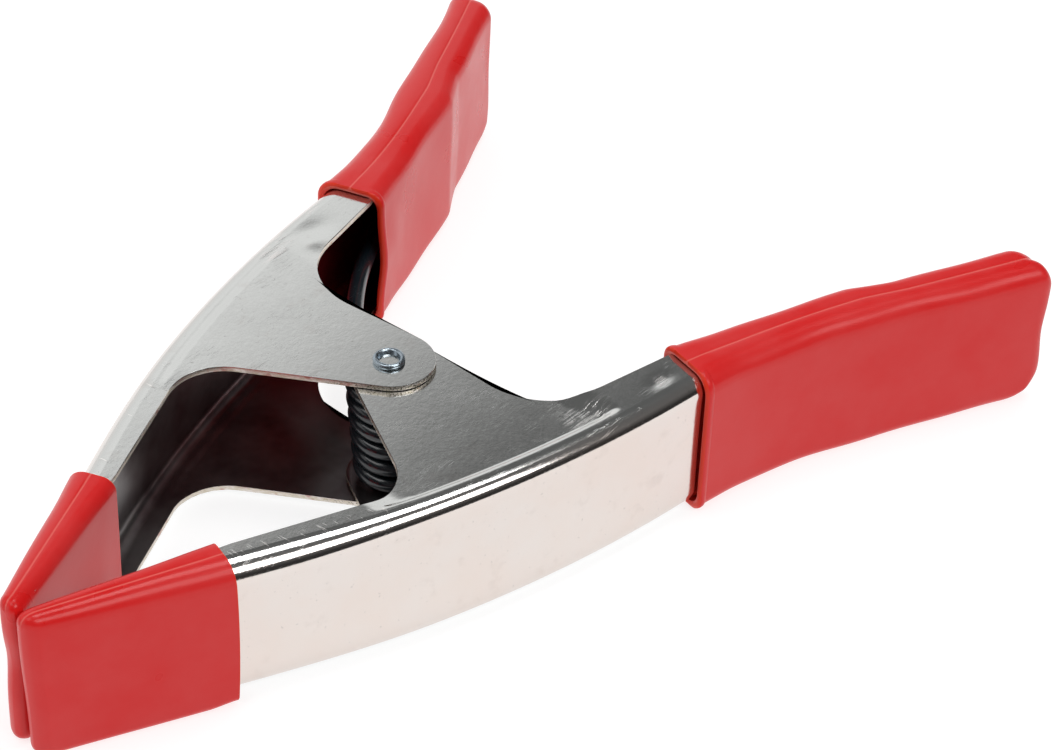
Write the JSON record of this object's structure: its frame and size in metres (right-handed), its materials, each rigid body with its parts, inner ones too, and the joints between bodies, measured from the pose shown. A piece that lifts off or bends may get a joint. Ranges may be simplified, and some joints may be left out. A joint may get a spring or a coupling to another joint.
{
  "type": "spring clamp",
  "caption": "Spring clamp with pressed steel channel arms on a rivet, a torsion spring, and red dipped vinyl jaw caps and grip sleeves.",
  "frame": {"origin": "below the middle of the closed clamp, on the flat surface it lies on", "axes": "+Z along the pivot's axis, up as the clamp lies on its side; +X from the jaws to the grips; +Y to the outer arm"},
  "size_m": [0.2276, 0.174, 0.036],
  "materials": {
    "plated_steel": "bright nickel plate, satin on the cheeks",
    "zinc_rivet": "zinc plate",
    "black_wire": "black, glossy",
    "red_vinyl": "dipped soft vinyl, glossy to satin"
  },
  "bodies": {
    "outer_side": {"outer_arm": "plated_steel", "pivot_rivet": "zinc_rivet", "torsion_spring": "black_wire", "outer_jaw_cap": "red_vinyl", "outer_handle_sleeve": "red_vinyl"},
    "inner_side": {"inner_arm": "plated_steel", "inner_jaw_cap": "red_vinyl", "inner_handle_sleeve": "red_vinyl"}
  },
  "joints": [
    {"name": "jaw_pivot", "type": "hinge", "parent": "outer_side", "child": "inner_side", "pos_m": [-0.00815, 0, 0.018], "axis": [0, 0, 1], "range_deg": [0, 62], "stiffness_Nm_per_rad": 8, "springref_deg": -22.92, "deforming": ["torsion_spring"]}
  ]
}
